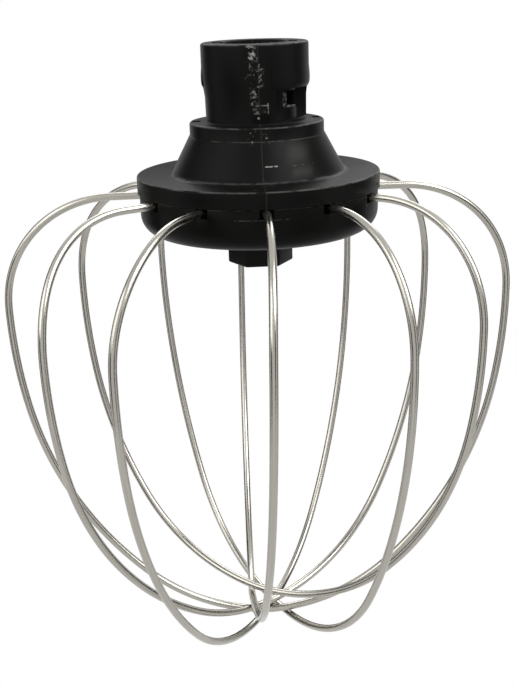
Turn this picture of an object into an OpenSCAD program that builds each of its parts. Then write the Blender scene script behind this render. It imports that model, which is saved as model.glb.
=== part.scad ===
// Whisk attachment of a stand mixer: a black moulded drive hub with a bayonet socket, a black clamp
// cap held on by a hexagon-headed screw, and six stainless wire loops clamped between hub and cap.
// The origin is the centre of the socket's rim, +Z points up out of the socket, and the front,
// where the hub carries its moulded mark, looks along -Y. All sizes are in millimetres.

/* [Drive socket] */
// Outer diameter of the socket at its rim
socket_d = 27.2; // [26:0.1:28]
// Outer diameter of the socket's waist, just above the ring
waist_d = 25.8; // [25.4:0.1:26]
// Distance below the rim at which the wall starts to taper
taper_top = 9.2; // [8:0.1:10]
// Distance below the rim at which the taper ends
taper_foot = 13.2; // [12:0.1:14]
// Diameter of the bore that takes the mixer's shaft
bore_d = 17; // [16.5:0.1:17.5]
// Depth of the bore
bore_depth = 25; // [23:0.5:26]

/* [Bayonet] */
// Angle from the front to the near end of the first window
window_start = 18.5; // [17:0.5:20]
// Angle that a window spans
window_span = 76; // [70:1:80]
// Height of a window
window_h = 7.7; // [7:0.1:8]
// Distance from the rim down to the top of a window
window_top = 10.9; // [10.6:0.1:11.2]
// Radius of the inner sleeve's outer face, seen through the windows
sleeve_r = 10.4; // [10:0.1:10.8]
// Height of the slot that the cross pin slides in
pin_slot_h = 3.8; // [3.5:0.1:4]
// Angle from the front to the slot's locked end
pin_slot_start = 44; // [40:1:50]
// Width of the upright groove through which the cross pin enters
entry_w = 4.4; // [4:0.1:4.8]
// Angle from a window's far end back to the middle of the entry groove
entry_setback = 14; // [12:0.5:16]

/* [Ring and cone] */
// Diameter of the ring below the socket
ring_d = 34.4; // [33:0.1:35]
// Distance from the rim down to the ring's top
ring_top = 19.4; // [19:0.1:20]
// Height of the ring's upright wall
ring_h = 3.4; // [3:0.1:4]
// Diameter of the cone at its foot
cone_foot_d = 44.2; // [42:0.1:46]
// Length of the two small pockets in the ring's top, measured along the ring
pocket_len = 3; // [2:0.1:4]
// Radial width of the pockets
pocket_w = 2.1; // [1.5:0.1:2.2]
// Depth of the pockets
pocket_depth = 1.6; // [1:0.1:2]

/* [Flange and cap] */
// Diameter of the flange
flange_d = 62.8; // [62:0.1:64]
// Height of the flange's rim wall
flange_rim_h = 4.2; // [3:0.1:5]
// Distance from the socket's rim down to the joint between hub and cap
joint_drop = 36.6; // [36:0.1:37]
// How far the clamp cap's edge lies inside the flange's edge
cap_inset = 0.5; // [0.2:0.1:1]
// Height of the clamp cap
cap_h = 10.8; // [10:0.1:12]
// Radius of the rounding around the cap's lower edge
cap_round = 5; // [3:0.1:6]
// Width of the square notch around each wire at the cap's edge
notch_w = 3.3; // [3:0.1:3.6]
// Radial length of the notch
notch_len = 2.4; // [2:0.1:4]

/* [Clamp screw] */
// Size across the flats of the hexagon head
hex_flats = 14.9; // [14:0.1:15.5]
// Height of the head
hex_h = 9; // [8:0.1:10]
// Diameter of the shank
shank_d = 8; // [7:0.1:9]
// Length of the shank inside the hub
shank_grip = 8; // [6:0.1:8]

/* [Wires] */
// Diameter of the wire
wire_d = 2; // [1.8:0.1:2]
// Play around a wire in its channel
wire_play = 0.05; // [0.02:0.01:0.1]
// Radius at which the wire ends turn up into the hub
hook_r = 17; // [16:0.5:18]
// Radius of the bend of a wire end
hook_bend = 2.5; // [2:0.1:3]
// Upright length of a wire end above its bend
hook_stub = 1.5; // [1:0.1:2]

/* [Cage] */
// Radius of the cage at the end of the shoulder bend
belly_r = 65.2; // [63:0.1:67]
// Bend radius of the shoulders
shoulder_r = 29.3; // [28:0.1:30]
// Bend radius of the flanks below the shoulders
flank_r = 139; // [130:1:150]
// Angle that a flank turns inwards
flank_turn = 11.5; // [11:0.1:12]
// By how much the bend radius around the tip is smaller than the radius of the cage
tip_inset = 13.4; // [12:0.1:15]
// Distance from the wires' level in the hub down to the tip of the highest loop
cage_depth = 115.7; // [113:0.1:118]
// Distance by which each loop hangs below the one before
tip_pitch = 2.4; // [2.3:0.05:2.6]

/* [Hidden] */

// How far the loops are out of true after use, from the highest loop to the lowest. Each row holds
// the angle of the loop's plane, the sideways lean of its tip in mm, then for its near and its far
// leg the angle in degrees by which the leg is turned and the mm by which it stands wide. The mm
// count in warp_unit.
loop_set = [
    [60, -3, [-5, -2.5], [-4, -4]],
    [0, -5.5, [-1, -1], [2, -0.5]],
    [120, -0.5, [5, -2.5], [9, 3.5]],
    [90, -1.5, [2.5, 2], [-2, 2.5]],
    [30, 4.5, [-1.5, -1.5], [-3.5, -2]],
    [150, 4, [2.5, 3], [-1.5, 4]]
];
warp_unit = 1;
// Length of the run over which a leg's turn and width come in
warp_run = 45;

plastic = "#1c1c1b";
steel = "#c3c0b8";
round_fn = 96;
over = 1;

socket_r = socket_d / 2;
waist_r = waist_d / 2;
bore_r = bore_d / 2;
ring_r = ring_d / 2;
cone_foot_r = cone_foot_d / 2;
flange_r = flange_d / 2;
cap_r = flange_r - cap_inset;
wire_r = wire_d / 2;
wire_sides = 12;
rim_round = 0.6;
edge_round = 0.5;
flange_top = joint_drop - flange_rim_h;
tip_r = belly_r - tip_inset;
channel_w = wire_d + 2 * wire_play;
wire_drop = joint_drop + wire_r + wire_play;
hook_top = wire_drop - hook_bend - hook_stub;
hub_channel_w = channel_w + 0.4;
hub_channel_h = joint_drop - hook_top + 0.3;
shank_play = 0.05;
// Depth of the notches in the cap's edge
notch_h = 2.4;

function unit(v) = v / norm(v);
function heading(angle) = [sin(angle), -cos(angle), 0];
function across(angle) = [cos(angle), sin(angle), 0];
function ease(x) = let(c = min(max(x, 0), 1)) c * c * (3 - 2 * c);
function arc_points(centre, r, from, to, steps) =
    [for (i = [0:steps]) let(a = from + (to - from) * i / steps) centre + r * [cos(a), sin(a)]];

// A leg's outline in its own plane is four arcs, shoulder, flank, hip and tip, each tangent to the
// next. The hip's radius follows from the others: [hip radius, hip centre, angle of the tip arc].
function hip(wide, depth) =
    let(
        p = [wide - flank_r * (1 - cos(flank_turn)), -shoulder_r - flank_r * sin(flank_turn)],
        inward = [-cos(flank_turn), sin(flank_turn)],
        tip_centre = [0, tip_r - depth],
        d = p - tip_centre,
        r = (tip_r * tip_r - d * d) / (2 * (inward * d + tip_r)),
        centre = p + r * inward,
        joint = tip_centre - unit(centre - tip_centre) * tip_r
    )
    [r, centre, atan2(joint[0], tip_centre[1] - joint[1])];

// Lengths of the outline, added up, at the ends of its four arcs
function arc_ends(h) =
    let(
        shoulder = shoulder_r * PI / 2,
        flank = shoulder + flank_r * flank_turn * PI / 180,
        side = flank + h[0] * (90 - flank_turn - h[2]) * PI / 180
    )
    [shoulder, flank, side, side + tip_r * h[2] * PI / 180];

// Point [radius, height] of the outline at the length s from the start of the shoulder
function outline_point(wide, depth, h, ends, s) =
    s < ends[0] ?
        let(a = s / shoulder_r * 180 / PI)
        [wide - shoulder_r * (1 - sin(a)), -shoulder_r * (1 - cos(a))]
    : s < ends[1] ?
        let(a = (s - ends[0]) / flank_r * 180 / PI)
        [wide - flank_r * (1 - cos(a)), -shoulder_r - flank_r * sin(a)]
    : s < ends[2] ?
        let(a = flank_turn + (s - ends[1]) / h[0] * 180 / PI)
        h[1] + h[0] * [cos(a), -sin(a)]
    :
        let(a = h[2] - (s - ends[2]) / tip_r * 180 / PI)
        [tip_r * sin(a), tip_r - depth - tip_r * cos(a)];

// Point of a leg in space, with its turn, its extra width and the loop's lean
function leg_point(plane, lean, side, leg, depth, s) =
    let(
        wide = belly_r + leg[1] * warp_unit,
        h = hip(wide, depth),
        ends = arc_ends(h),
        q = outline_point(wide, depth, h, ends, s),
        angle = plane + side + leg[0] * ease(s / warp_run)
    )
    q[0] * heading(angle) + pow(s / ends[3], 2) * lean * across(plane) + [0, 0, q[1] - wire_drop];

// Direction of a leg, by a small step each way
function leg_direction(plane, lean, side, leg, depth, s) =
    let(step = 0.01)
    unit(leg_point(plane, lean, side, leg, depth, s + step) - leg_point(plane, lean, side, leg, depth, s - step));

// Even steps from a to b, without b itself
function steps(a, b, count) = [for (i = [0:count - 1]) a + (b - a) * i / count];

// A leg as knots of [point, direction]: the hook in the hub, the bend, then the outline to the tip
function leg_knots(plane, lean, side, leg, depth) =
    let(
        ends = arc_ends(hip(belly_r + leg[1] * warp_unit, depth)),
        out = heading(plane + side),
        up = [0, 0, 1],
        stops = concat(
            steps(0, ends[0], 10), steps(ends[0], ends[1], 3),
            steps(ends[1], ends[2], 7), steps(ends[2], ends[3], 8)
        )
    )
    concat(
        [[hook_r * out - hook_top * up, -up]],
        [for (a = [0:22.5:90]) [
            (hook_r + hook_bend * (1 - cos(a))) * out + (hook_bend * (1 - sin(a)) - wire_drop) * up,
            sin(a) * out - cos(a) * up
        ]],
        [for (s = stops) [
            leg_point(plane, lean, side, leg, depth, s),
            leg_direction(plane, lean, side, leg, depth, s)
        ]]
    );

// Direction of the wire at the tip, halfway between those in which its two legs arrive
function tip_direction(plane, lean, near, far, depth) =
    let(
        drift = 2 * lean / arc_ends(hip(belly_r, depth))[3] * across(plane),
        near_way = unit(drift - heading(plane + near[0])),
        far_way = unit(drift - heading(plane + 180 + far[0]))
    )
    unit(near_way - far_way);

function backwards(knots) =
    [for (i = [len(knots) - 1:-1:0]) [knots[i][0], -knots[i][1]]];

// Corners of the wire's cross-section at a knot, with the loop's plane as the reference
function wire_ring(knot, plane) =
    let(
        b = unit(across(plane) - (across(plane) * knot[1]) * knot[1]),
        n = cross(knot[1], b)
    )
    [for (i = [0:wire_sides - 1])
        let(a = 360 * i / wire_sides)
        knot[0] + wire_r * (cos(a) * b + sin(a) * n)];

// A round wire swept along knots of [point, direction]
module swept_wire(knots, plane) {
    rings = len(knots);
    points = [for (knot = knots) each wire_ring(knot, plane)];
    walls = [for (i = [0:rings - 2], j = [0:wire_sides - 1])
        let(
            next = (j + 1) % wire_sides,
            a = i * wire_sides + j,
            b = i * wire_sides + next,
            c = a + wire_sides,
            d = b + wire_sides
        )
        each [[a, c, b], [b, c, d]]];
    start_face = [for (j = [0:wire_sides - 1]) j];
    end_face = [for (j = [wire_sides - 1:-1:0]) (rings - 1) * wire_sides + j];
    polyhedron(points, concat([start_face], walls, [end_face]), convexity = 6);
}

module wire_loop(index) {
    plane = loop_set[index][0];
    lean = loop_set[index][1] * warp_unit;
    near = loop_set[index][2];
    far = loop_set[index][3];
    depth = cage_depth + index * tip_pitch;
    tip = lean * across(plane) - [0, 0, depth + wire_drop];
    color(steel)
    swept_wire(
        concat(
            leg_knots(plane, lean, 0, near, depth),
            [[tip, tip_direction(plane, lean, near, far, depth)]],
            backwards(leg_knots(plane, lean, 180, far, depth))
        ),
        plane
    );
}

// A block of wall between two radii, two distances below the rim and two angles from the front
module wall_sector(r_in, r_out, top, foot, start, span) {
    rotate([0, 0, start - 90])
    rotate_extrude(angle = span, $fn = round_fn)
    translate([r_in, -foot])
    square([r_out - r_in, foot - top]);
}

// The thick wall over each window, rounded in towards the opening
module window_hood(start) {
    margin = 4;
    raise = 0.2;
    drop = window_top - taper_top;
    rotate([0, 0, start - margin - 90])
    rotate_extrude(angle = window_span + 2 * margin, $fn = round_fn)
    polygon([
        [sleeve_r + 1, -taper_top / 2],
        [socket_r - raise / 2, -taper_top / 2],
        [socket_r + raise, -taper_top + 1],
        [socket_r + raise, -taper_top - drop * 0.1],
        [socket_r + raise / 4, -taper_top - drop * 0.6],
        [socket_r - 0.35, -window_top],
        [sleeve_r + 1, -window_top]
    ]);
}

// Everything that is cut away for one side of the bayonet: the window in the wall, the slot of the
// cross pin in the inner sleeve behind it, and the groove that leads the pin down to the slot
module bayonet_cut(start) {
    groove_r = sleeve_r + 0.4;
    slot_foot = window_top + window_h * 0.6;
    entry_foot = slot_foot + 0.6;
    slot_start = start + pin_slot_start - window_start;
    entry_angle = start + window_span - entry_setback;
    wall_sector(sleeve_r, socket_r + over, window_top, window_top + window_h, start, window_span);
    wall_sector(bore_r - over, groove_r, slot_foot - pin_slot_h, slot_foot, slot_start, entry_angle - slot_start);
    rotate([0, 0, entry_angle - 90])
    translate([bore_r - over, -entry_w / 2, -entry_foot])
    cube([groove_r - bore_r + over, entry_w, entry_foot + over]);
}

// The outline moulded on the waist: a small box with a pointer under it
module moulded_mark() {
    mark_w = 3.6;
    mark_h = 2.3;
    mark_top = 14.3;
    line_w = 0.35;
    raise = 0.2;
    intersection() {
        wall_sector(waist_r - 0.4, waist_r + raise, taper_foot, ring_top - 0.4, -20, 40);
        rotate([0, 0, 1.5])
        translate([0, 0, -mark_top])
        rotate([90, 0, 0])
        linear_extrude(height = socket_r + over) {
            difference() {
                translate([-mark_w / 2, -mark_h])
                square([mark_w, mark_h]);
                translate([-mark_w / 2 + line_w, -mark_h + line_w])
                square([mark_w - 2 * line_w, mark_h - 2 * line_w]);
            }
            polygon([[-0.7, -mark_h - 1.2], [0.1, -mark_h - 0.7], [0.1, -mark_h - 1.7]]);
        }
    }
}

// The ring channel in the hub's underside for the upturned wire ends. Its outer edge is cut back at
// 45 degrees, so that the wires' bends lie clear of it.
module hook_channel() {
    inner = hook_r - hub_channel_w / 2;
    outer = hook_r + hub_channel_w / 2;
    lead = hook_bend - hub_channel_w / 2;
    top = hub_channel_h - joint_drop;
    rotate_extrude($fn = round_fn)
    polygon([
        [inner, -joint_drop - over], [inner, top], [outer, top],
        [outer, lead - joint_drop], [outer + lead + over, -joint_drop - over]
    ]);
}

module drive_hub() {
    ring_foot = ring_top + ring_h;
    pocket_mid = (waist_r + ring_r) / 2 + 0.4;
    color(plastic)
    difference() {
        union() {
            rotate_extrude($fn = round_fn)
            polygon(concat(
                [[0, -joint_drop], [flange_r, -joint_drop]],
                arc_points([flange_r - edge_round, -flange_top - edge_round], edge_round, 0, 90, 4),
                [[cone_foot_r + 0.8, -flange_top], [cone_foot_r, -flange_top + 0.5]],
                [[ring_r, -ring_foot]],
                arc_points([ring_r - edge_round, -ring_top - edge_round], edge_round, 0, 90, 4),
                [[waist_r, -ring_top], [waist_r, -taper_foot], [socket_r, -taper_top]],
                arc_points([socket_r - rim_round, -rim_round], rim_round, 0, 90, 4),
                [[0, 0]]
            ));
            window_hood(window_start);
            window_hood(window_start + 180);
            moulded_mark();
        }
        translate([0, 0, -bore_depth])
        cylinder(r = bore_r, h = bore_depth + over, $fn = round_fn);
        bayonet_cut(window_start);
        bayonet_cut(window_start + 180);
        for (side = [-95, 95])
            rotate([0, 0, side - 90])
            translate([pocket_mid - pocket_w / 2, -pocket_len / 2, -ring_top - pocket_depth])
            cube([pocket_w, pocket_len, pocket_depth + over]);
        hook_channel();
        translate([0, 0, -joint_drop - over])
        cylinder(r = shank_d / 2 + shank_play, h = shank_grip + over + 0.3, $fn = round_fn);
    }
}

module clamp_cap() {
    cap_foot = joint_drop + cap_h;
    color(plastic)
    difference() {
        rotate_extrude($fn = round_fn)
        polygon(concat(
            [[0, -cap_foot]],
            arc_points([cap_r - cap_round, -cap_foot + cap_round], cap_round, -90, 0, 10),
            [[cap_r, -joint_drop], [0, -joint_drop]]
        ));
        for (i = [0:11])
            rotate([0, 0, i * 30 - 90]) {
                translate([hook_r - hub_channel_w / 2, -channel_w / 2, -joint_drop - channel_w])
                cube([cap_r - hook_r + hub_channel_w / 2 - notch_len / 2, channel_w, channel_w + over]);
                translate([cap_r - notch_len, -notch_w / 2, -joint_drop - notch_h])
                cube([notch_len + over, notch_w, notch_h + over]);
            }
        translate([0, 0, -cap_foot - over])
        cylinder(r = shank_d / 2 + shank_play, h = cap_h + 2 * over, $fn = round_fn);
    }
}

module clamp_screw() {
    head_top = joint_drop + cap_h;
    head_foot = head_top + hex_h;
    corner_r = hex_flats / sqrt(3);
    bevel = 0.6;
    color(plastic) {
        intersection() {
            translate([0, 0, -head_foot])
            cylinder(r = corner_r, h = hex_h, $fn = 6);
            rotate_extrude($fn = round_fn)
            polygon([
                [0, -head_foot], [corner_r - bevel, -head_foot], [corner_r + 0.1, -head_foot + bevel + 0.1],
                [corner_r + 0.1, -head_top], [0, -head_top]
            ]);
        }
        translate([0, 0, -head_top])
        cylinder(d = shank_d, h = cap_h + shank_grip, $fn = round_fn);
    }
}

drive_hub();
clamp_cap();
clamp_screw();
wire_loop(0);  // wire_loop_1
wire_loop(1);  // wire_loop_2
wire_loop(2);  // wire_loop_3
wire_loop(3);  // wire_loop_4
wire_loop(4);  // wire_loop_5
wire_loop(5);  // wire_loop_6
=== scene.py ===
# %% [markdown]
# # A stand mixer's whisk
#
# The part is a black moulded drive hub, a black cap clamped under it by a hexagon-headed screw, and
# six loops of polished stainless wire between the two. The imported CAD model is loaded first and
# stays the measure of everything: each new piece stands exactly where its CAD node stands.

# %% Load the frame
import math
import bpy
from mathutils import Matrix, Vector


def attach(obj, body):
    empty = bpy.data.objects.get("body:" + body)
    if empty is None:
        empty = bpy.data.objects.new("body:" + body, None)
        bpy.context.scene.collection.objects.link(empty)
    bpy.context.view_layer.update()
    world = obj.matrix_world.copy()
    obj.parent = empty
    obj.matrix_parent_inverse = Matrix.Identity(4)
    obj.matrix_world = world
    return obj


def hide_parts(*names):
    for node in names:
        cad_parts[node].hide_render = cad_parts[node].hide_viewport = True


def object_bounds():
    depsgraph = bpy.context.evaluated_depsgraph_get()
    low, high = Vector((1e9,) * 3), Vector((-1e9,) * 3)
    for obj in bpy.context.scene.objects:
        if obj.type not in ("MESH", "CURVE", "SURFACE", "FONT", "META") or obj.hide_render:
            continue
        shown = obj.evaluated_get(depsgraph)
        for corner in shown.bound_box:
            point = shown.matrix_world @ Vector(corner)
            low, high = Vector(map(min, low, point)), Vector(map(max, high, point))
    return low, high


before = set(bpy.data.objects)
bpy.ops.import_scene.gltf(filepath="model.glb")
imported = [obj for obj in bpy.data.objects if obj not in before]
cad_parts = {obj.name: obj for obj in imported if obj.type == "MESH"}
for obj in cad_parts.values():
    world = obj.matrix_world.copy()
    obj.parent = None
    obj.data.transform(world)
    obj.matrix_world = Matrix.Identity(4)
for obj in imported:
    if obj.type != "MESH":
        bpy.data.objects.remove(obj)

cad_low, cad_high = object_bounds()

# %% [markdown]
# ## The sizes
#
# The origin is the centre of the socket's rim and +Z points up out of it, so nearly everything
# hangs below zero. Lengths are written in millimetres, as a maker would write them, and turned
# into metres where they are used.

# %% Sizes in millimetres
MM = 0.001

socket_r = 13.6          # outside of the socket at its rim
waist_r = 12.9           # outside of the socket just above the ring
taper_top = 9.2          # below the rim, where the wall starts to taper
taper_foot = 13.2
bore_r = 8.5
bore_depth = 25.0
sleeve_r = 10.4          # outer face of the inner sleeve, seen through the windows

window_start = 18.5      # degrees from the front to the near end of the first window
window_span = 76.0
window_h = 7.7
window_top = 10.9
pin_slot_h = 3.8
pin_slot_start = 44.0
entry_w = 4.4
entry_setback = 14.0     # degrees from the window's far end back to the entry groove

ring_r = 17.2
ring_top = 19.4
ring_foot = 22.8
cone_foot_r = 22.1
flange_r = 31.4
joint_drop = 36.6        # below the rim, where hub and cap meet
flange_top = joint_drop - 4.2
cap_r = 30.9
cap_foot = joint_drop + 10.8
notch_w, notch_h, notch_len = 3.3, 2.4, 2.4

hex_flats = 14.9
hex_foot = cap_foot + 9.0
shank_r = 4.0

wire_r = 1.0
wire_play = 0.05
wire_drop = joint_drop + wire_r + wire_play
hook_r, hook_bend, hook_stub = 17.0, 2.5, 1.5
print("joint between hub and cap %.1f mm below the rim" % joint_drop)

# %% [markdown]
# ## Angles round the hub
#
# An angle of zero looks at the front, along -Y, and grows towards +X. Two helpers give the
# direction out of the axis at an angle, and the direction across it.

# %% Directions
UP = Vector((0, 0, 1))


def heading(angle):
    a = math.radians(angle)
    return Vector((math.sin(a), -math.cos(a), 0))


def across(angle):
    a = math.radians(angle)
    return Vector((math.cos(a), math.sin(a), 0))


print("front looks along", tuple(heading(0)))

# %% [markdown]
# ## Colours
#
# Colours are picked as a screen shows them, as sRGB hex values, while the shader works with linear
# light. One function does the step between the two.

# %% From hex to linear
def linear(hex_value):
    channels = [int(hex_value[i:i + 2], 16) / 255 for i in (1, 3, 5)]
    return [c / 12.92 if c <= 0.04045 else ((c + 0.055) / 1.055) ** 2.4 for c in channels] + [1.0]


print("mid grey is", [round(c, 3) for c in linear("#808080")])

# %% [markdown]
# ## Materials as node trees
#
# Each finish is a small tree of nodes. One function adds a node, sets its values and draws its
# links, so that a tree reads from top to bottom.

# %% Node helper
def new_material(name):
    material = bpy.data.materials.new(name)
    material.use_nodes = True
    material.node_tree.nodes.clear()
    return material


def node(material, kind, settings=None, **inputs):
    made = material.node_tree.nodes.new("ShaderNode" + kind)
    for key, value in (settings or {}).items():
        setattr(made, key, value)
    for key, value in inputs.items():
        key = int(key[1:]) if key[0] == "_" and key[1:].isdigit() else key.replace("_", " ")
        socket = made.inputs[key]
        if isinstance(value, bpy.types.NodeSocket):
            material.node_tree.links.new(value, socket)
        else:
            socket.default_value = value
    return made


print("node helper ready")

# %% Small steps of arithmetic
def calc(material, operation, a, b):
    return node(material, "Math", {"operation": operation}, _0=a, _1=b).outputs[0]


def ramp(material, value, low, high):
    """A soft step: 0 under low, 1 over high."""
    return node(
        material, "MapRange", {"interpolation_type": "SMOOTHSTEP"},
        Value=value, From_Min=low, From_Max=high, To_Min=0.0, To_Max=1.0
    ).outputs[0]


def band(material, value, low, high, soft):
    """1 between low and high and 0 outside, all in mm."""
    rise = ramp(material, value, (low - soft) * MM, (low + soft) * MM)
    fall = ramp(material, value, (high - soft) * MM, (high + soft) * MM)
    return calc(material, "SUBTRACT", rise, fall)


print("arithmetic ready")

# %% [markdown]
# ## Moulded black plastic
#
# The hub, the cap and the screw are glass-filled nylon: near black, satin, with a very fine
# sandy grain from the mould. The grain is too fine to see at this distance, so it only breaks the
# gloss up. The part has been used: pale scuffs show on it, and the mould's seam as a fine line down
# the front. Painted light is laid into the same colour: a paler painted highlight line along the
# rounded edges, painted highlights and sheen on the front, and painted shade in the windows.

# %% Where on the piece
def surface(material):
    """What the wear reads: the place on the piece in space and by radius, and two noises."""
    # The painted highlights and painted shade read these places and noises too.
    place = node(material, "TexCoord").outputs["Object"]
    split = node(material, "SeparateXYZ", Vector=place)
    flat = node(material, "VectorMath", {"operation": "MULTIPLY"}, _0=place, _1=(1, 1, 0)).outputs[0]
    return {
        "place": place,
        "x": split.outputs[0],
        "z": split.outputs[2],
        "r": node(material, "VectorMath", {"operation": "LENGTH"}, _0=flat).outputs["Value"],
        "front": calc(material, "LESS_THAN", split.outputs[1], 0.0),
        "speck": node(material, "TexNoise", Vector=place, Scale=1100.0, Detail=6.0, Roughness=0.75).outputs[0],
        "patch": node(material, "TexNoise", Vector=place, Scale=330.0, Detail=3.0, Roughness=0.6).outputs[0],
    }


print("surface readings ready")

# %% Scuffs with painted light, painted edge highlights and the seam
def scuff_and_painted_light(material, at, tone, x, z, colour="#a3a29c", cover=0.6, amount=1.0, soft=0.5):
    """Speckles of another colour on the front, within a range of x and one of z."""
    # Used both for real scuffs and for painted highlights and painted shade; either way a speckled patch of flat
    # colour.
    mask = ramp(material, at["speck"], 0.62 - 0.12 * cover, 0.74 - 0.12 * cover)
    patch = ramp(material, at["patch"], 0.56 - 0.16 * cover, 0.68 - 0.16 * cover)
    limits = [patch, at["front"], band(material, at["x"], *x, soft), band(material, at["z"], *z, soft), amount]
    for limit in limits:
        mask = calc(material, "MULTIPLY", mask, limit)
    return node(material, "MixRGB", Fac=mask, Color1=tone, Color2=linear(colour)).outputs[0]


def painted_edge_highlight(material, at, tone, r, z, reach=0.3, amount=0.6, colour="#565754"):
    """A paler line along the edge that runs round the axis at a radius and a height."""
    # The paler line is a painted highlight along the rounded edge, broken up by the patch noise.
    out = calc(material, "SUBTRACT", at["r"], r * MM)
    up = calc(material, "SUBTRACT", at["z"], z * MM)
    square = calc(material, "ADD", calc(material, "MULTIPLY", out, out), calc(material, "MULTIPLY", up, up))
    near = calc(material, "SUBTRACT", 1.0, ramp(material, square, 0.0, (reach * MM) ** 2))
    patchy = calc(material, "MULTIPLY", near, ramp(material, at["patch"], 0.38, 0.56))
    mask = calc(material, "MULTIPLY", patchy, amount)
    return node(material, "MixRGB", Fac=mask, Color1=tone, Color2=linear(colour)).outputs[0]


print("wear ready")

# %% Glass-filled nylon
def nylon(name, colour, roughness, scuffs_and_painted_light=(), edges=(), seam=False):
    m = new_material(name)
    at = surface(m)
    grain = node(m, "TexNoise", Vector=at["place"], Scale=1400.0, Detail=2.0, Roughness=0.6).outputs[0]
    cloud = node(m, "TexNoise", Vector=at["place"], Scale=90.0, Detail=4.0, Roughness=0.6).outputs[0]
    tone = node(m, "MixRGB", Fac=cloud, Color1=linear(colour[0]), Color2=linear(colour[1])).outputs[0]
    gloss = node(
        m, "MapRange", Value=cloud, From_Min=0.3, From_Max=0.7, To_Min=roughness - 0.05, To_Max=roughness + 0.05
    ).outputs[0]
    # A painted highlight line along each rounded edge listed.
    for edge in edges:
        tone = painted_edge_highlight(m, at, tone, *edge)
    if seam:
        line = calc(m, "MULTIPLY", band(m, at["x"], -0.12, 0.12, 0.06), 0.7)
        tone = node(m, "MixRGB", Fac=line, Color1=tone, Color2=linear("#2c2d2b")).outputs[0]
    # Scuffs, and also painted highlights and painted shade, laid over the tone one after another.
    for settings in scuffs_and_painted_light:
        tone = scuff_and_painted_light(m, at, tone, **settings)
    bump = node(m, "Bump", Height=grain, Strength=0.12, Distance=0.00005).outputs[0]
    shader = node(m, "BsdfPrincipled", Base_Color=tone, Roughness=gloss, Normal=bump, Specular_IOR_Level=0.06)
    node(m, "OutputMaterial", Surface=shader.outputs[0])
    return m


print("nylon ready")

# %% [markdown]
# The scuffs run from the rim down the seam, the brightest just under the rim. Painted light is
# laid in among them: painted highlights on the moulded mark, two soft painted sheen patches on the
# right of the cone, a painted highlight dash beside the seam and painted highlights on the pin slot,
# with painted shade in the windows and a near-black patch just under the mark.

# %% The three plastics
hub_scuffs_and_painted_light = [
    {"x": (-2.7, -0.7), "z": (-3.6, -0.4), "cover": 1.2},
    {"x": (-1.9, 1.2), "z": (-7.8, -3.2), "cover": 0.95, "amount": 0.8},
    {"x": (-3.2, 1.0), "z": (-10.4, -7.2), "cover": 0.7, "amount": 0.7},
    {"x": (-2.0, 0.2), "z": (-14.4, -10.0), "cover": 0.9, "amount": 0.8},
    {"x": (-1.5, 2.3), "z": (-16.6, -14.4), "cover": 0.9, "amount": 0.35, "soft": 0.2},
    # Painted highlight along the top line and the right bar of the moulded mark.
    {"x": (-0.9, 2.4), "z": (-14.7, -14.4), "cover": 2.0, "amount": 0.45, "soft": 0.08},
    {"x": (2.05, 2.35), "z": (-16.6, -14.0), "cover": 2.0, "amount": 0.4, "soft": 0.08},
    # A near-black patch just below the moulded mark.
    {"x": (-1.9, 2.7), "z": (-18.9, -16.9), "cover": 4.0, "colour": "#050505", "soft": 0.1},
    # Painted highlight in place of the mark's pointer, which has no geometry of its own.
    {"x": (-0.45, 0.05), "z": (-17.8, -17.3), "cover": 4.0, "amount": 0.6, "soft": 0.08},
    {"x": (-3.8, 2.0), "z": (-23.4, -19.6), "cover": 0.55, "amount": 0.7},
    {"x": (-4.4, 3.4), "z": (-32.4, -30.4), "cover": 0.4, "amount": 0.5},
    # Two soft painted sheen patches on the right of the cone.
    {"x": (6.6, 11.2), "z": (-27.6, -24.0), "cover": 2.6, "amount": 0.05, "soft": 1.6},
    {"x": (7.4, 12.2), "z": (-31.0, -28.9), "cover": 2.6, "amount": 0.045, "soft": 0.9},
    # Painted highlight dash for the lit edge of a small moulded step beside the seam.
    {"x": (0.6, 3.8), "z": (-28.45, -28.2), "cover": 1.6, "amount": 0.8, "soft": 0.08},
    {"x": (4.4, 13.2), "z": (-28.5, -28.4), "cover": 1.2, "amount": 0.25, "soft": 0.06},
    # Painted shade: the sleeve and jambs seen through the window taken to near black.
    {"x": (4.3, 12.6), "z": (-18.5, -11.1), "cover": 4.0, "colour": "#040404", "soft": 0.1},
    # Painted highlights on the pin slot's end and along its floor edge, seen through the window.
    {"x": (6.2, 7.2), "z": (-15.4, -11.9), "cover": 1.4, "amount": 0.3, "soft": 0.2},
    {"x": (6.6, 9.8), "z": (-15.7, -15.45), "cover": 1.6, "amount": 0.5, "soft": 0.08},
]
# Rounded edges that get a painted highlight line: radius, height, and where given reach and amount.
hub_edge_highlights = [
    (socket_r - 0.3, -0.25), (ring_r - 0.2, -ring_top - 0.2), (ring_r, -ring_foot, 0.25, 0.45),
    (cone_foot_r + 0.3, -flange_top + 0.4, 0.4, 0.35), (flange_r - 0.15, -flange_top - 0.15, 0.3, 0.6),
]
hub_finish = nylon("glass_filled_nylon_hub", ("#0a0b0a", "#0e0f0d"), 0.40, hub_scuffs_and_painted_light, hub_edge_highlights, True)
cap_scuffs = [{"x": (-7.6, 5.6), "z": (-39.3, -39.15), "cover": 1.5, "amount": 0.2, "soft": 0.06}]
# A painted highlight line along the cap's top edge.
cap_edge_highlights = [(cap_r - 0.1, -joint_drop - 0.15)]
cap_finish = nylon("glass_filled_nylon_cap", ("#080807", "#0c0c0b"), 0.38, cap_scuffs, cap_edge_highlights)
screw_finish = nylon("glass_filled_nylon_screw", ("#121211", "#161615"), 0.38)
print("plastics:", hub_finish.name, cap_finish.name, screw_finish.name)

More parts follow.
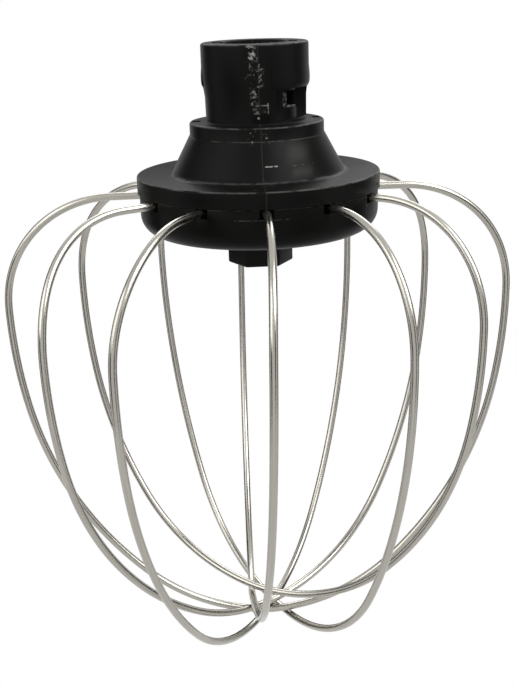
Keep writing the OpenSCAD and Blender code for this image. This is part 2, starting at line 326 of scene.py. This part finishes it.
# %% [markdown]
# ## Polished stainless wire
#
# The loops are drawn stainless steel wire, polished after bending. Drawing leaves faint lines along
# the wire, so the finish reads a coordinate that follows the wire: the length along it and the place
# round it, stored on the mesh as an attribute when the wire is made. The colour along these lines
# swings from dark grey to pale, which also paints reflection streaks along the wire.

# %% Drawn stainless steel
def stainless(name):
    m = new_material(name)
    wire = node(m, "Attribute", {"attribute_name": "wire_place"}).outputs["Vector"]
    stretch = node(m, "Mapping", Vector=wire, Scale=(0.02, 1.6, 1.6)).outputs[0]
    lines = node(m, "TexNoise", Vector=stretch, Scale=3.0, Detail=5.0, Roughness=0.7).outputs[0]
    place = node(m, "TexCoord").outputs["Object"]
    stain = node(m, "TexNoise", Vector=place, Scale=120.0, Detail=4.0, Roughness=0.6).outputs[0]
    # Real drawing lines, and with them painted dark and bright reflection streaks along and round the wire.
    tone = node(m, "MixRGB", Fac=lines, Color1=linear("#8d8a82"), Color2=linear("#c1beb6")).outputs[0]
    gloss = node(m, "MapRange", Value=stain, From_Min=0.3, From_Max=0.7, To_Min=0.16, To_Max=0.30).outputs[0]
    bump = node(m, "Bump", Height=lines, Strength=0.25, Distance=0.00008).outputs[0]
    shader = node(m, "BsdfPrincipled", Base_Color=tone, Metallic=1.0, Roughness=gloss, Normal=bump)
    node(m, "OutputMaterial", Surface=shader.outputs[0])
    return m


wire_finish = stainless("drawn_stainless_steel")
print("metal:", wire_finish.name)

# %% [markdown]
# ## Turned forms
#
# The hub and the cap are bodies of revolution. A turned form starts as a filled circle, and each
# further ring of its outline is an extrusion of that face, moved along the axis and scaled. The
# face rides along as the lid, so the shell is closed at every step.

# %% Turning by extrusion
def deselect():
    if bpy.context.object and bpy.context.object.mode != "OBJECT":
        bpy.ops.object.mode_set(mode="OBJECT")
    bpy.ops.object.select_all(action="DESELECT")


def turned(name, outline, sides=192):
    """outline is a list of (radius, height) in mm, from the middle of the first face to the last."""
    deselect()
    (r, z), rest = outline[0], outline[1:]
    bpy.ops.mesh.primitive_circle_add(
        vertices=sides, radius=r * MM, fill_type="NGON", location=(0, 0, z * MM)
    )
    made = bpy.context.object
    made.name = name
    bpy.ops.object.transform_apply(location=True, rotation=True, scale=True)
    bpy.ops.object.mode_set(mode="EDIT")
    for r_next, z_next in rest:
        bpy.ops.mesh.extrude_region_move(TRANSFORM_OT_translate={"value": (0, 0, (z_next - z) * MM)})
        if abs(r_next - r) > 1e-6:
            k = r_next / r
            bpy.ops.transform.resize(value=(k, k, 1), center_override=(0, 0, z_next * MM))
        r, z = r_next, z_next
    bpy.ops.mesh.select_all(action="SELECT")
    bpy.ops.mesh.normals_make_consistent(inside=False)
    bpy.ops.object.mode_set(mode="OBJECT")
    return made


def rounded(centre, radius, start, end, steps=5):
    """Points of an arc in the outline, angles in degrees from the outward direction."""
    turns = [math.radians(start + (end - start) * i / steps) for i in range(steps + 1)]
    return [(centre[0] + radius * math.cos(a), centre[1] + radius * math.sin(a)) for a in turns]


print("turning helper ready")

# %% [markdown]
# ## Cutters and edges
#
# Windows, slots and pockets are cut with the Boolean modifier, as a toolmaker's cores do. A sector
# cutter is a rectangle spun round the axis. After cutting, a narrow bevel catches the light along
# each edge, as the rounded edges of a moulding do.

# %% Cutting helpers
def sector(r_in, r_out, top, foot, start, span, steps=48):
    """A block between two radii and two depths below the rim, from one angle over a span."""
    deselect()
    bpy.ops.mesh.primitive_plane_add(size=1, location=(0, 0, 0))
    made = bpy.context.object
    bpy.ops.object.mode_set(mode="EDIT")
    bpy.ops.transform.resize(value=((r_out - r_in) * MM, (foot - top) * MM, 1))
    bpy.ops.object.mode_set(mode="OBJECT")
    turn = Matrix.Rotation(math.radians(start - 90), 4, "Z") @ Matrix.Translation(
        Vector(((r_in + r_out) / 2 * MM, 0, -(top + foot) / 2 * MM))
    ) @ Matrix.Rotation(math.radians(90), 4, "X")
    made.data.transform(turn)
    bpy.ops.object.mode_set(mode="EDIT")
    bpy.ops.mesh.select_all(action="SELECT")
    bpy.ops.mesh.spin(steps=steps, angle=-math.radians(span), center=(0, 0, 0), axis=(0, 0, 1))
    bpy.ops.mesh.select_all(action="SELECT")
    bpy.ops.mesh.normals_make_consistent(inside=False)
    bpy.ops.object.mode_set(mode="OBJECT")
    return made


def block(size, centre, angle):
    """A box of size (outwards, across, up) whose centre is (outwards, across, up), turned to an angle."""
    deselect()
    bpy.ops.mesh.primitive_cube_add(size=1, location=(0, 0, 0))
    made = bpy.context.object
    shape = Matrix.Diagonal(Vector([s * MM for s in size] + [1]))
    made.data.transform(
        Matrix.Rotation(math.radians(angle - 90), 4, "Z") @ Matrix.Translation(Vector(centre) * MM) @ shape
    )
    return made


def combine(target, others, operation):
    for other in others:
        change = target.modifiers.new("join", "BOOLEAN")
        change.operation = operation
        change.solver = "EXACT"
        change.object = other
        deselect()
        bpy.context.view_layer.objects.active = target
        target.select_set(True)
        bpy.ops.object.modifier_apply(modifier=change.name)
        bpy.data.objects.remove(other, do_unlink=True)


def soften(target, width, angle=35, segments=2):
    deselect()
    bpy.context.view_layer.objects.active = target
    target.select_set(True)
    bevel = target.modifiers.new("edges", "BEVEL")
    bevel.width = width * MM
    bevel.segments = segments
    bevel.limit_method = "ANGLE"
    bevel.angle_limit = math.radians(angle)
    bpy.ops.object.modifier_apply(modifier=bevel.name)
    bpy.ops.object.shade_smooth_by_angle(angle=math.radians(angle))


def dress(piece, nodes, finish):
    """The piece takes its finish, rides with the part and stands for its CAD nodes."""
    piece.data.materials.clear()
    piece.data.materials.append(finish)
    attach(piece, "root")
    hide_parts(*nodes)
    print(piece.name, len(piece.data.polygons), "faces")


print("cutting helpers ready")

# %% [markdown]
# ## The drive hub
#
# One moulding: socket, ring, cone and flange. Its outline runs from the flat underside up the
# outside to the rim, then down the bore to its floor.

# %% Hub body
hub_outline = (
    [(flange_r, -joint_drop)]
    + rounded((flange_r - 0.5, -flange_top - 0.5), 0.5, 0, 90)
    + [(cone_foot_r + 1.4, -flange_top), (cone_foot_r + 0.5, -flange_top + 0.15)]
    + [(cone_foot_r + 0.1, -flange_top + 0.5), (cone_foot_r - 0.3, -flange_top + 1.2)]
    + [(ring_r + 0.15, -ring_foot)]
    + [(ring_r, -ring_foot + 0.3)]
    + rounded((ring_r - 0.5, -ring_top - 0.5), 0.5, 0, 90)
    + [(waist_r + 0.3, -ring_top), (waist_r, -ring_top + 0.3)]
    + [(waist_r + 0.1, -taper_foot), (socket_r - 0.15, -taper_top - 0.8), (socket_r, -taper_top + 0.6)]
    + rounded((socket_r - 0.6, -0.6), 0.6, 0, 90)
    + [(bore_r + 0.3, 0), (bore_r, -0.3), (bore_r, -bore_depth)]
)
hub = turned("drive_hub_moulding", hub_outline)
print("hub outline", len(hub_outline), "rings")

# %% [markdown]
# The wall is thicker over each window: a hood that rounds in towards the opening.

# %% Hoods over the windows
def hood(start):
    margin, drop = 4.0, window_top - taper_top
    outline = [
        (sleeve_r + 1, -taper_top / 2), (socket_r - 0.1, -taper_top / 2),
        (socket_r + 0.12, -taper_top + 2), (socket_r + 0.18, -taper_top + 1), (socket_r + 0.18, -taper_top - 0.1),
        (socket_r + 0.12, -taper_top - drop * 0.4), (socket_r - 0.02, -taper_top - drop * 0.7),
        (socket_r - 0.35, -window_top), (sleeve_r + 1, -window_top)
    ]
    deselect()
    bpy.ops.mesh.primitive_circle_add(vertices=len(outline), radius=1, fill_type="NGON", location=(0, 0, 0))
    made = bpy.context.object
    for vertex, (r, z) in zip(made.data.vertices, outline):
        vertex.co = heading(start - margin) * r * MM + UP * z * MM
    bpy.ops.object.mode_set(mode="EDIT")
    bpy.ops.mesh.select_all(action="SELECT")
    bpy.ops.mesh.spin(
        steps=48, angle=-math.radians(window_span + 2 * margin), center=(0, 0, 0), axis=(0, 0, 1)
    )
    bpy.ops.mesh.select_all(action="SELECT")
    bpy.ops.mesh.normals_make_consistent(inside=False)
    bpy.ops.object.mode_set(mode="OBJECT")
    return made


combine(hub, [hood(window_start), hood(window_start + 180)], "UNION")
print("hoods joined,", len(hub.data.polygons), "faces")

# %% [markdown]
# The bayonet: on each side a window in the wall, behind it the slot of the cross pin in the inner
# sleeve, and the upright groove through which the pin drops in from the rim. Two small pockets in
# the top of the ring are cut here too.

# %% Bayonet cuts
slot_foot = window_top + window_h * 0.6
entry_foot = slot_foot + 0.6
groove_r = sleeve_r + 0.4
pocket_w, pocket_len, pocket_depth = 2.1, 3.0, 1.6
pocket_mid = (waist_r + ring_r) / 2 + 0.4
for side in (0, 180):
    start = window_start + side
    entry = start + window_span - entry_setback
    first = start + pin_slot_start - window_start
    combine(hub, [
        sector(sleeve_r, socket_r + 1, window_top, window_top + window_h, start, window_span),
        sector(bore_r - 1, groove_r, slot_foot - pin_slot_h, slot_foot, first, entry - first),
        block(
            (groove_r - bore_r + 1, entry_w, entry_foot + 1),
            ((groove_r + bore_r - 1) / 2, 0, (1 - entry_foot) / 2), entry
        ),
    ], "DIFFERENCE")
for side in (-95, 95):
    pocket = block(
        (pocket_w, pocket_len, pocket_depth + 1), (pocket_mid, 0, (1 - pocket_depth) / 2 - ring_top), side
    )
    combine(hub, [pocket], "DIFFERENCE")
print("bayonet cut,", len(hub.data.polygons), "faces")

# %% [markdown]
# On the front of the waist a small outline is moulded: a box; the pointer under it is only a
# painted highlight. Its lines are thinner than the edge bevels, so it is joined on after them.

# %% Hub edges, moulded mark and finish
soften(hub, 0.18)
mark_angle, mark_top, mark_w, mark_h, line_w = 1.5, 14.3, 3.6, 2.3, 0.35
bars = [
    ((0.6, mark_w, line_w), (waist_r - 0.12, 0, -mark_top - line_w / 2)),
    ((0.6, mark_w, line_w), (waist_r - 0.12, 0, -mark_top - mark_h + line_w / 2)),
    ((0.6, line_w, mark_h), (waist_r - 0.25, (line_w - mark_w) / 2, -mark_top - mark_h / 2)),
    ((0.6, line_w, mark_h), (waist_r - 0.25, (mark_w - line_w) / 2, -mark_top - mark_h / 2)),
]
combine(hub, [block(size, centre, mark_angle) for size, centre in bars], "UNION")
bpy.ops.object.shade_smooth_by_angle(angle=math.radians(35))
dress(hub, ["drive_hub"], hub_finish)

# %% [markdown]
# ## The clamp cap
#
# A thick disc with a wide rounding round its lower edge. Twelve square notches in its upper edge
# let the wires out, just under the joint with the hub.

# %% Cap
cap_outline = (
    [(shank_r + 0.5, -cap_foot), (25.0, -cap_foot)]
    + rounded((cap_r - 5.2, -cap_foot + 5.2), 5.2, -84, 0, 14)
    + [(cap_r, -joint_drop - 0.35)]
    + [(cap_r - 0.1, -joint_drop - 0.1), (cap_r - 0.35, -joint_drop), (26.0, -joint_drop)]
)
cap = turned("clamp_cap_moulding", cap_outline)
combine(cap, [
    block((notch_len + 1, notch_w, notch_h + 1), (cap_r - notch_len / 2 + 0.5, 0, -joint_drop - notch_h / 2 + 0.5), angle)
    for angle in range(0, 360, 30)
], "DIFFERENCE")
soften(cap, 0.12)
dress(cap, ["clamp_cap"], cap_finish)

# %% [markdown]
# ## The clamp screw
#
# Below the cap shows only the screw's hexagon head, with slightly rounded corners and edges.

# %% Screw head
deselect()
bpy.ops.mesh.primitive_cylinder_add(
    vertices=6, radius=hex_flats / math.sqrt(3) * MM, depth=(hex_foot - cap_foot + 0.4) * MM,
    location=(0, 0, -(hex_foot + cap_foot - 0.4) / 2 * MM), rotation=(0, 0, math.radians(30))
)
screw = bpy.context.object
screw.name = "clamp_screw_head"
bpy.ops.object.transform_apply(location=True, rotation=True, scale=True)
soften(screw, 0.5, segments=4)
dress(screw, ["clamp_screw"], screw_finish)

# %% [markdown]
# ## The wire loops
#
# A leg's outline in its own plane is four arcs: shoulder, flank, hip and tip, each tangent to the
# next. Use has bent the loops a little out of true, so each leg also has a turn, an extra width and
# the loop a sideways lean, which all come in smoothly along the wire.

# %% Outline of a leg
belly_r, shoulder_r, flank_r, flank_turn, tip_r = 65.2, 29.3, 139.0, math.radians(11.5), 51.8
cage_depth, tip_pitch, warp_run = 115.7, 2.4, 45.0


def leg_outline(wide, depth):
    """Returns the arcs' end lengths and a function from length to (radius, height)."""
    knee = Vector((
        wide - flank_r * (1 - math.cos(flank_turn)), -shoulder_r - flank_r * math.sin(flank_turn)
    ))
    inward = Vector((-math.cos(flank_turn), math.sin(flank_turn)))
    tip_centre = Vector((0, tip_r - depth))
    d = knee - tip_centre
    hip_r = (tip_r ** 2 - d.dot(d)) / (2 * (inward.dot(d) + tip_r))
    hip_centre = knee + hip_r * inward
    joint = tip_centre - (hip_centre - tip_centre).normalized() * tip_r
    tip_turn = math.atan2(joint.x, tip_centre.y - joint.y)
    ends = [shoulder_r * math.pi / 2]
    ends.append(ends[0] + flank_r * flank_turn)
    ends.append(ends[1] + hip_r * (math.pi / 2 - flank_turn - tip_turn))
    ends.append(ends[2] + tip_r * tip_turn)

    def point(s):
        if s < ends[0]:
            a = s / shoulder_r
            return wide - shoulder_r * (1 - math.sin(a)), -shoulder_r * (1 - math.cos(a))
        if s < ends[1]:
            a = (s - ends[0]) / flank_r
            return wide - flank_r * (1 - math.cos(a)), -shoulder_r - flank_r * math.sin(a)
        if s < ends[2]:
            a = flank_turn + (s - ends[1]) / hip_r
            return hip_centre.x + hip_r * math.cos(a), hip_centre.y - hip_r * math.sin(a)
        a = tip_turn - (s - ends[2]) / tip_r
        return tip_r * math.sin(a), tip_r - depth - tip_r * math.cos(a)

    return ends, point


print("a leg is about %.0f mm long" % leg_outline(belly_r, cage_depth)[0][-1])

# %% Points along a leg
def leg_points(plane, lean, side, turn, widen, depth):
    """Points in mm from the hook inside the hub to the tip."""
    wide = belly_r + widen
    ends, point = leg_outline(wide, depth)
    out = heading(plane + side)
    points = [hook_r * out - (wire_drop - hook_bend - hook_stub) * UP]
    for i in range(7):
        a = math.radians(15 * i)
        points.append((hook_r + hook_bend * (1 - math.cos(a))) * out + (hook_bend * (1 - math.sin(a)) - wire_drop) * UP)
    start = wide - shoulder_r
    points += [(hook_r + hook_bend + (start - hook_r - hook_bend) * i / 6) * out - wire_drop * UP for i in range(1, 6)]
    count = 110
    for i in range(count):
        s = ends[-1] * i / count
        r, z = point(s)
        x = min(s / warp_run, 1)
        angle = plane + side + turn * x * x * (3 - 2 * x)
        points.append(r * heading(angle) + (s / ends[-1]) ** 2 * lean * across(plane) + (z - wire_drop) * UP)
    return points


print("leg points ready")

# %% [markdown]
# Each loop is a curve with a round bevel, turned into a mesh. The attribute that the steel reads
# is then written ring by ring: how far along the wire, and where round it.

# %% Make a loop
RING = 20                # vertices round the wire


def wire_loop(index, plane, lean, near, far):
    depth = cage_depth + index * tip_pitch
    tip = lean * across(plane) - (depth + wire_drop) * UP
    points = (
        leg_points(plane, lean, 0, *near, depth) + [tip] + leg_points(plane, lean, 180, *far, depth)[::-1]
    )
    deselect()
    bpy.ops.curve.primitive_nurbs_path_add(location=(0, 0, 0))
    made = bpy.context.object
    made.name = "whisk_wire_%d" % (index + 1)
    made.data.splines.clear()
    spline = made.data.splines.new("POLY")
    spline.points.add(len(points) - 1)
    for knot, p in zip(spline.points, points):
        knot.co = (*(p * MM), 1)
    made.data.bevel_depth = wire_r * MM
    made.data.bevel_resolution = RING // 2 - 2
    made.data.use_fill_caps = True
    made.data.twist_mode = "MINIMUM"
    bpy.ops.object.convert(target="MESH")
    made = bpy.context.object
    bpy.ops.object.shade_smooth_by_angle(angle=math.radians(50))
    mark_place(made, points)
    dress(made, ["wire_loop_%d" % (index + 1)], wire_finish)
    return made


def mark_place(made, points):
    lengths = [0.0]
    for a, b in zip(points, points[1:]):
        lengths.append(lengths[-1] + (b - a).length)
    store = made.data.attributes.new("wire_place", "FLOAT_VECTOR", "POINT")
    per_ring = len(made.data.vertices) // len(points)
    for i, vertex in enumerate(made.data.vertices):
        ring = min(i // per_ring, len(points) - 1)
        angle = 2 * math.pi * (i % per_ring) / per_ring
        store.data[i].vector = (lengths[ring], math.cos(angle), math.sin(angle))


# %% All six loops, from the highest tip to the lowest
loop_set = [
    (60, -3.0, (-5.0, -2.5), (-4.0, -4.0)),
    (0, -5.5, (-1.0, -1.0), (2.0, -0.5)),
    (120, -0.5, (5.0, -2.5), (9.0, 3.5)),
    (90, -1.5, (2.5, 2.0), (-2.0, 2.5)),
    (30, 4.5, (-1.5, -1.5), (-3.5, -2.0)),
    (150, 4.0, (2.5, 3.0), (-1.5, 4.0)),
]
wires = [wire_loop(i, *row) for i, row in enumerate(loop_set)]

# %% [markdown]
# ## Floor and light
#
# The whisk hangs from the mixer, so the pale floor lies well below it. A big soft lamp from the
# upper right and a weaker one from the left light it plainly, and the white surroundings show in
# the steel.

# %% Floor
deselect()
bpy.ops.mesh.primitive_plane_add(size=6, location=(0, 0, cad_low[2] - 0.35))
floor = bpy.context.object
floor.name = "floor"
pale = new_material("pale_floor")
path = node(pale, "LightPath")
seen = node(
    pale, "Math", {"operation": "MAXIMUM"},
    _0=path.outputs["Is Camera Ray"], _1=path.outputs["Is Glossy Ray"]
).outputs[0]
matt = node(pale, "BsdfDiffuse", Color=linear("#e8e8e6"))
bright = node(pale, "Emission", Color=(1, 1, 1, 1), Strength=1.0)
both = node(pale, "MixShader", _0=seen, _1=matt.outputs[0], _2=bright.outputs[0])
node(pale, "OutputMaterial", Surface=both.outputs[0])
floor.data.materials.append(pale)
print("floor at %.3f m" % floor.location.z)

# %% World
world = bpy.data.worlds.new("white_studio")
bpy.context.scene.world = world
world.use_nodes = True
tree = world.node_tree
tree.nodes.clear()
rays = tree.nodes.new("ShaderNodeLightPath")
shown = tree.nodes.new("ShaderNodeMath")
shown.operation = "MAXIMUM"
tree.links.new(rays.outputs["Is Camera Ray"], shown.inputs[0])
tree.links.new(rays.outputs["Is Glossy Ray"], shown.inputs[1])
level = tree.nodes.new("ShaderNodeMapRange")
level.inputs["To Min"].default_value = 0.45
level.inputs["To Max"].default_value = 1.0
tree.links.new(shown.outputs[0], level.inputs["Value"])
sky = tree.nodes.new("ShaderNodeBackground")
sky.inputs["Color"].default_value = (1, 1, 1, 1)
tree.links.new(level.outputs[0], sky.inputs["Strength"])
out = tree.nodes.new("ShaderNodeOutputWorld")
tree.links.new(sky.outputs[0], out.inputs["Surface"])
print("world ready")

# %% Lamps
def softbox(name, place, aim, size, power):
    deselect()
    bpy.ops.object.light_add(type="AREA", location=place)
    lamp = bpy.context.object
    lamp.name = name
    lamp.data.shape = "RECTANGLE"
    lamp.data.size, lamp.data.size_y = size
    lamp.data.energy = power
    lamp.rotation_euler = (Vector(aim) - Vector(place)).to_track_quat("-Z", "Y").to_euler()


middle = (0, 0, -0.06)
softbox("key_lamp", (0.5, -0.35, 0.5), middle, (0.6, 0.6), 6.5)
softbox("fill_lamp", (-0.6, -0.4, 0.3), middle, (0.6, 0.6), 3.0)
softbox("back_lamp", (0.1, 0.7, 0.5), middle, (0.8, 0.4), 4.0)
print("three lamps")

# %% [markdown]
# White surroundings alone would leave the steel flat. Dark cards beside the set, which the camera
# doesn't see, draw the dark lines along the wires.

# %% Dark cards
card_high, card_away, card_level = 1.2, 0.9, -0.05


def flag(name, angle, width):
    """An upright card at an angle round the part, its width in metres."""
    deselect()
    bpy.ops.mesh.primitive_plane_add(size=1, location=(0, 0, 0))
    made = bpy.context.object
    made.name = name
    made.data.transform(
        Matrix.Rotation(math.radians(angle - 90), 4, "Z") @ Matrix.Translation((card_away, 0, card_level))
        @ Matrix.Rotation(math.radians(90), 4, "Y") @ Matrix.Diagonal((card_high, width, 1, 1))
    )
    made.data.materials.append(flag_cloth)
    made.visible_camera = False
    made.visible_shadow = False


flag_cloth = new_material("black_flag_cloth")
cloth = node(flag_cloth, "BsdfDiffuse", Color=linear("#141414"))
node(flag_cloth, "OutputMaterial", Surface=cloth.outputs[0])
for number, (angle, width) in enumerate([(-58, 0.5), (38, 0.35), (105, 0.5), (-125, 0.5), (180, 0.4)]):
    flag("flag_%d" % number, angle, width)
print("dark cards set")

# %% [markdown]
# ## Camera
#
# The photograph was taken from a little above the flange, 0.3 m away, nearly straight at the front.
# The focal length is that of the photograph in pixels, turned into a lens on a 24 mm high sensor.

# %% Camera
photo_h = 688
focal_px = 1149.3
camera_turn = -3.2       # degrees round the axis from the front
camera_away, camera_high = 297.2, 16.6
pitch, yaw, roll = 17.95, 0.28, -1.82

bpy.ops.object.camera_add(location=(0, 0, 0))
camera = bpy.context.object
camera.data.sensor_fit = "VERTICAL"
camera.data.sensor_height = 24
camera.data.lens = focal_px / photo_h * 24
camera.data.clip_start, camera.data.clip_end = 0.01, 20
look = (
    Matrix.Rotation(math.radians(camera_turn), 4, "Z")
    @ Matrix.Rotation(math.radians(yaw), 4, "Z")
    @ Matrix.Rotation(math.radians(90 - pitch), 4, "X")
)
camera.matrix_world = (
    Matrix.Translation((camera_away * heading(camera_turn) + camera_high * UP) * MM)
    @ look @ Matrix.Rotation(math.radians(roll), 4, "Z")
)
bpy.context.scene.camera = camera
print("camera at", [round(v, 3) for v in camera.matrix_world.translation])

# %% [markdown]
# ## Plain colours
#
# The Standard view transform shows a colour as it is written.

# %% View settings
bpy.context.scene.view_settings.view_transform = "Standard"
